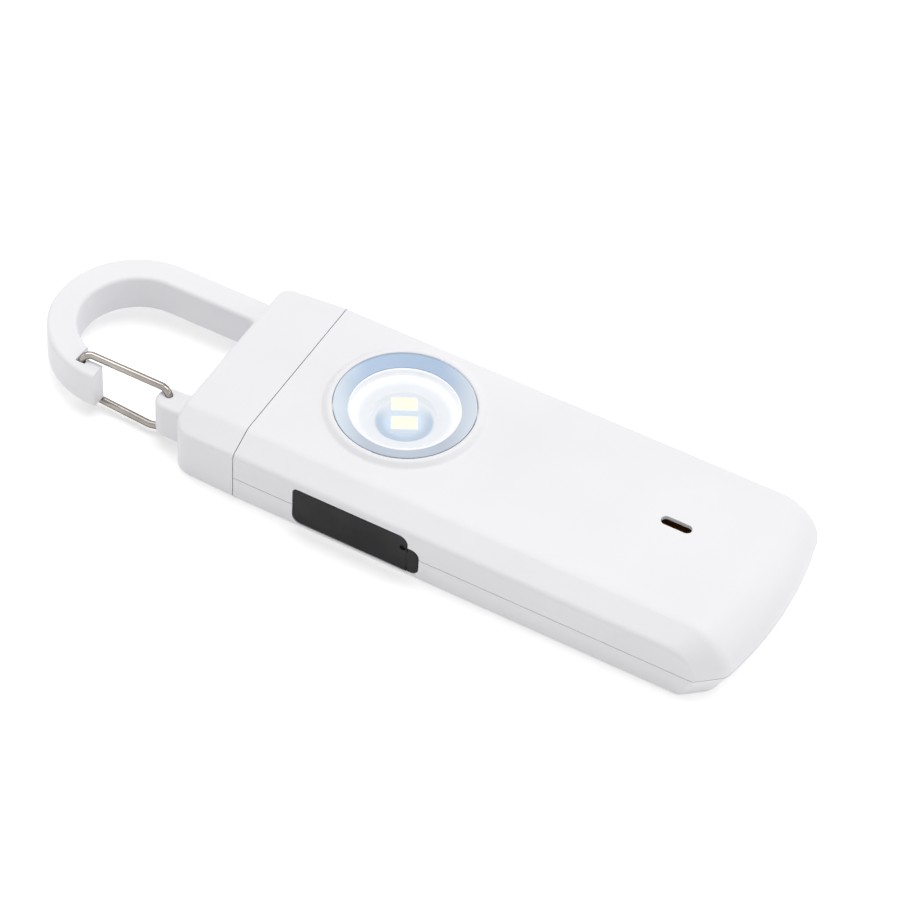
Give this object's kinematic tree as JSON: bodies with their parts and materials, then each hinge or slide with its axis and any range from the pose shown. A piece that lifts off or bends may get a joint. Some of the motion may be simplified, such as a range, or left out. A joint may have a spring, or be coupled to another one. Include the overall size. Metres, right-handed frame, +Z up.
{
  "type": "personal safety alarm",
  "caption": "Pocket personal safety alarm with a pull-off hook cap and pin, a sprung wire gate, a round lit push button, a sounder slot and a rubber charging flap.",
  "frame": {"origin": "middle of the bottom face of the whole alarm's box, hook and cap fitted", "axes": "+X from the hook toward the tail, +Y from the near side with the charging flap to the far side, +Z up out of the face with the round button"},
  "size_m": [0.1078, 0.03, 0.0104],
  "materials": {
    "case_white": "satin white moulded plastic",
    "case_grey_white": "satin white moulded plastic",
    "steel": "bright spring steel",
    "clear_lens": "clear polycarbonate",
    "blue_tint": "glossy pale blue translucent plastic",
    "reflector_white": "bright white plastic",
    "led_yellow": "pale yellow light chip",
    "board_green": "green solder resist",
    "black_plastic": "black moulded plastic",
    "tinned_steel": "tinned folded steel",
    "black_rubber": "soft black silicone rubber",
    "contact_brass": "plain brass",
    "battery_foil": "silver pouch foil",
    "foam_grey": "grey closed-cell foam",
    "ceramic_white": "off-white piezo ceramic",
    "red_pvc": "red insulation",
    "black_pvc": "black insulation",
    "ferrite": "dark ferrite",
    "copper_wire": "enamelled copper winding",
    "capacitor_tan": "tan ceramic chip",
    "resistor_black": "black thick-film chip"
  },
  "bodies": {
    "housing": {"top_case": "case_white", "bottom_case": "case_grey_white", "reflector": "reflector_white", "white_leds": "led_yellow", "main_board": "board_green", "board_screws": "steel", "tact_switch": "black_plastic", "port_shell": "tinned_steel", "port_insert": "black_plastic", "flap_strap": "black_rubber", "pin_socket": "black_plastic", "contact_leaf": "contact_brass", "battery": "battery_foil", "battery_tape": "foam_grey", "foam_pad": "foam_grey", "piezo_disc": "contact_brass", "piezo_ceramic": "ceramic_white", "sounder_gasket": "foam_grey", "battery_lead_red": "red_pvc", "battery_lead_black": "black_pvc", "sounder_lead_red": "red_pvc", "sounder_lead_black": "black_pvc", "coil_core": "ferrite", "coil_winding": "copper_wire", "controller_chip": "black_plastic", "charger_chip": "black_plastic", "capacitors": "capacitor_tan", "resistors": "resistor_black", "charge_led": "led_yellow"},
    "cap": {"hook_cap": "case_white", "cap_plate": "case_white", "pull_pin": "steel"},
    "gate": {"gate_wire": "steel"},
    "button": {"lens_button": "clear_lens", "tint_ring": "blue_tint"},
    "plunger": {"switch_plunger": "black_plastic"},
    "flap": {"usb_flap": "black_rubber"}
  },
  "joints": [
    {"name": "cap_pull", "type": "slide", "parent": "housing", "child": "cap", "axis": [-1, 0, 0], "range_m": [0, 0.012]},
    {"name": "gate_swing", "type": "hinge", "parent": "cap", "child": "gate", "pos_m": [-0.03076, -0.00964, 0.0047], "axis": [0, 0, -1], "range_deg": [0, 50], "stiffness_Nm_per_rad": 0.02, "springref_deg": -5.73},
    {"name": "button_press", "type": "slide", "parent": "housing", "child": "button", "axis": [0, 0, -1], "range_m": [0, 0.00045], "stiffness_N_per_m": 2000, "springref_m": -0.0002},
    {"name": "plunger_press", "type": "slide", "parent": "housing", "child": "plunger", "axis": [0, 0, -1], "range_m": [0, 0.00045]},
    {"name": "flap_open", "type": "hinge", "parent": "housing", "child": "flap", "pos_m": [0.0082, -0.015, 0.0039], "axis": [0, 0, 1], "range_deg": [0, 110]}
  ],
  "couplings": [
    {"joint": "plunger_press", "follows": "button_press", "ratio": 1}
  ]
}
